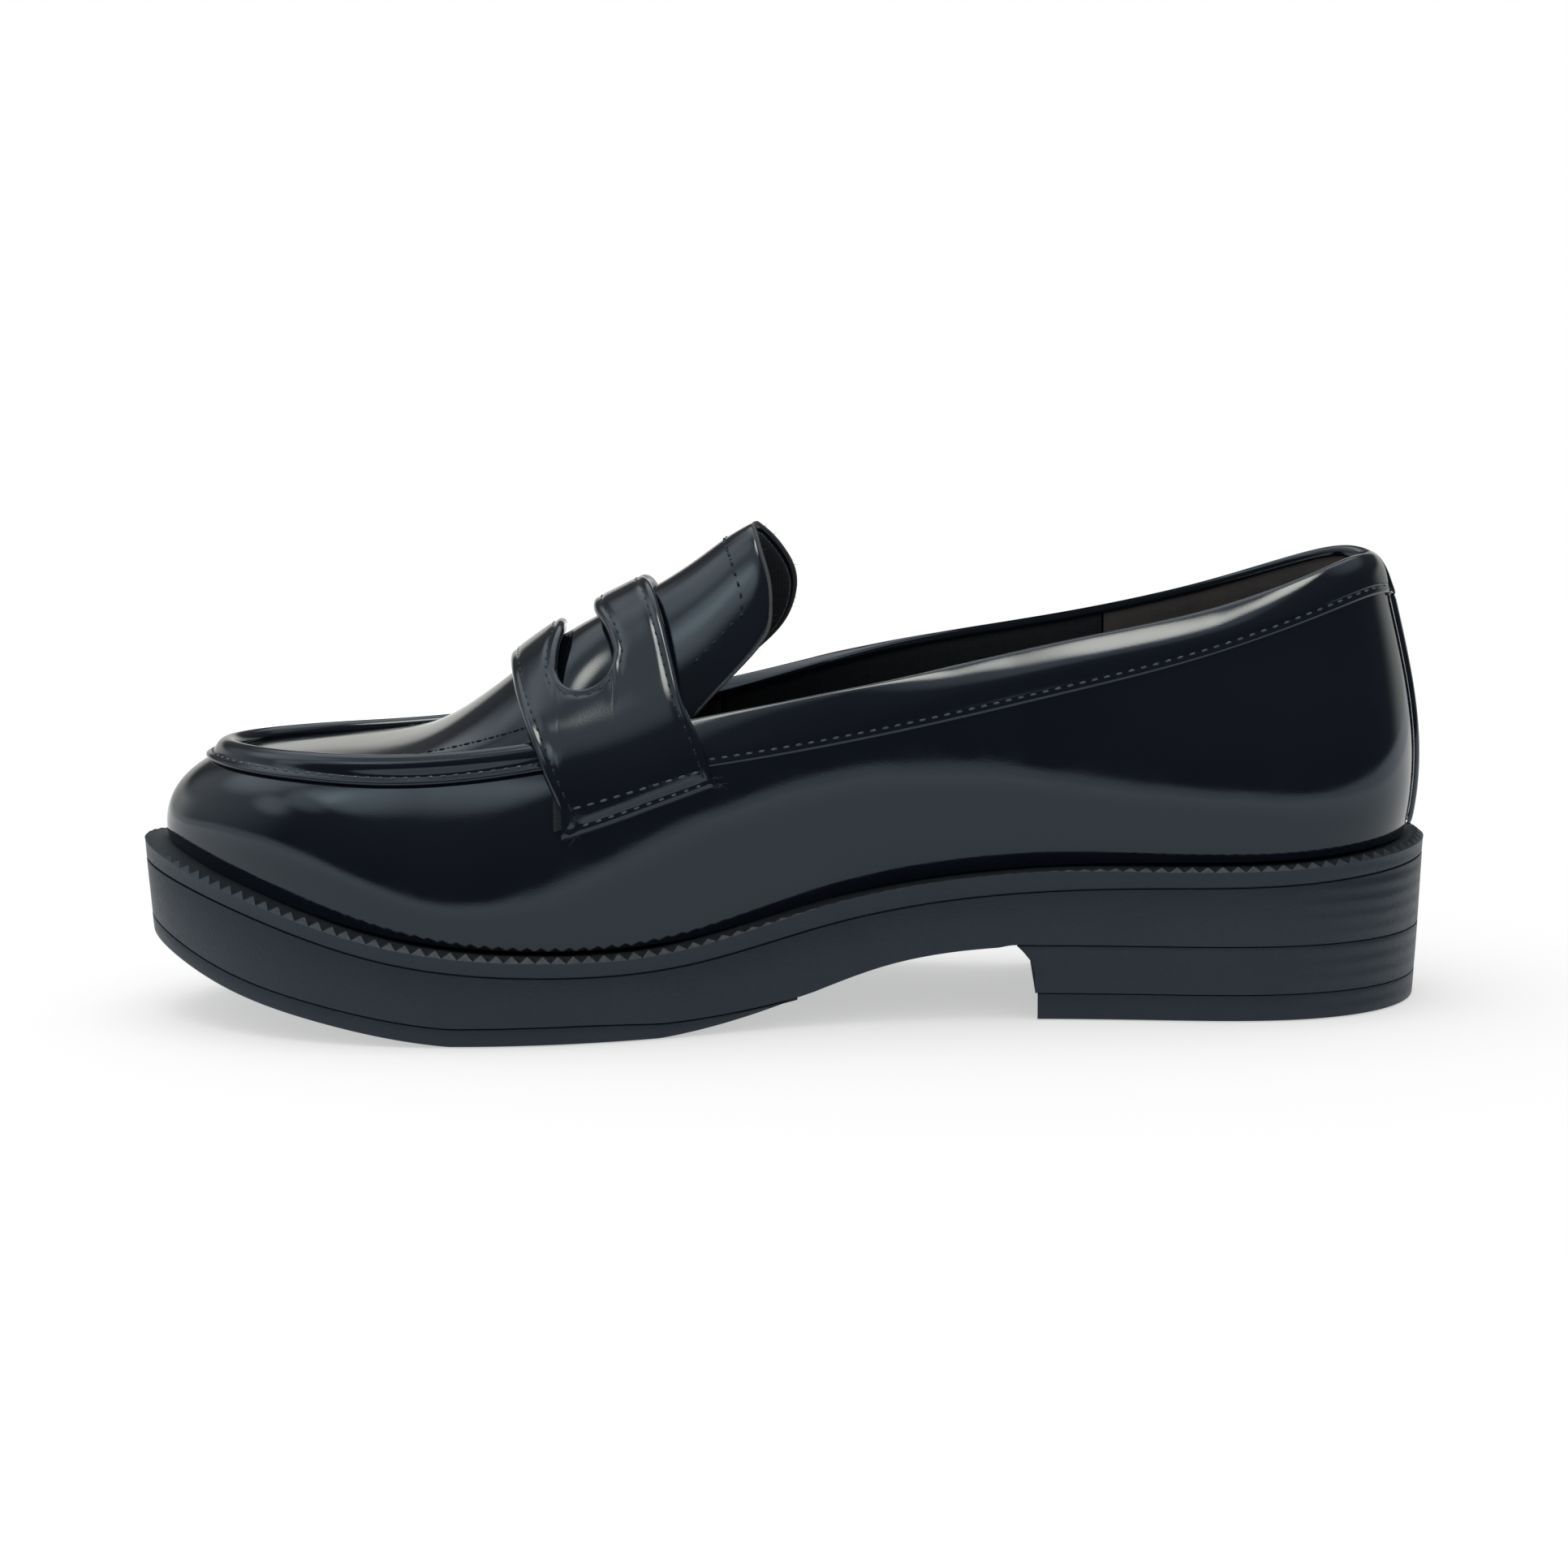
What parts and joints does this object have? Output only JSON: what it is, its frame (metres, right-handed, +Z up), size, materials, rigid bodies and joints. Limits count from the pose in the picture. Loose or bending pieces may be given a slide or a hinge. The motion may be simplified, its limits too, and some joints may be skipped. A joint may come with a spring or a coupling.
{
  "type": "penny loafer",
  "caption": "Chunky women's penny loafer, right foot: moccasin upper with slotted saddle strap and flexing tongue, on a welted rubber sole with a stacked heel.",
  "frame": {"origin": "centre of the footprint's bounding box, on the ground", "axes": "+X from toe to heel, +Y from the inner (medial) to the outer (lateral) side, +Z up"},
  "size_m": [0.2781, 0.0953, 0.1042],
  "materials": {
    "box_leather": "very dark navy-black, brushed off to a high gloss",
    "sole_rubber": "satin, fine moulded grain",
    "lining_textile": "matte",
    "heel_suede": "napped, matte",
    "fibre_board": "matte",
    "insole_foam": "matte",
    "cork_filler": "matte",
    "spring_steel": "brushed"
  },
  "bodies": {
    "shoe": {"welt": "sole_rubber", "midsole": "sole_rubber", "outsole_forefoot": "sole_rubber", "heel_block": "sole_rubber", "heel_top_lift": "sole_rubber", "bottom_filler": "cork_filler", "shank": "spring_steel", "insole_board": "fibre_board", "insole_foam": "insole_foam", "sock_lining": "lining_textile", "heel_nail_1": "spring_steel", "heel_nail_2": "spring_steel", "heel_nail_3": "spring_steel", "heel_nail_4": "spring_steel", "heel_nail_5": "spring_steel", "moccasin_wall": "box_leather", "toe_puff": "fibre_board", "heel_counter": "fibre_board", "vamp_lining": "lining_textile", "quarter_lining_medial": "lining_textile", "quarter_lining_lateral": "lining_textile", "heel_lining": "heel_suede", "apron": "box_leather", "apron_lining": "lining_textile", "apron_piping": "box_leather", "topline_band": "box_leather", "heel_tab": "box_leather", "backstay_strip": "box_leather", "saddle_strap": "box_leather", "strap_backing": "lining_textile"},
    "tongue": {"tongue": "box_leather", "tongue_lining": "lining_textile"}
  },
  "joints": [
    {"name": "tongue_flex", "type": "hinge", "parent": "shoe", "child": "tongue", "pos_m": [-0.029, 0, 0.089], "axis": [0, -1, 0], "range_deg": [-8, 28], "stiffness_Nm_per_rad": 0.08}
  ]
}
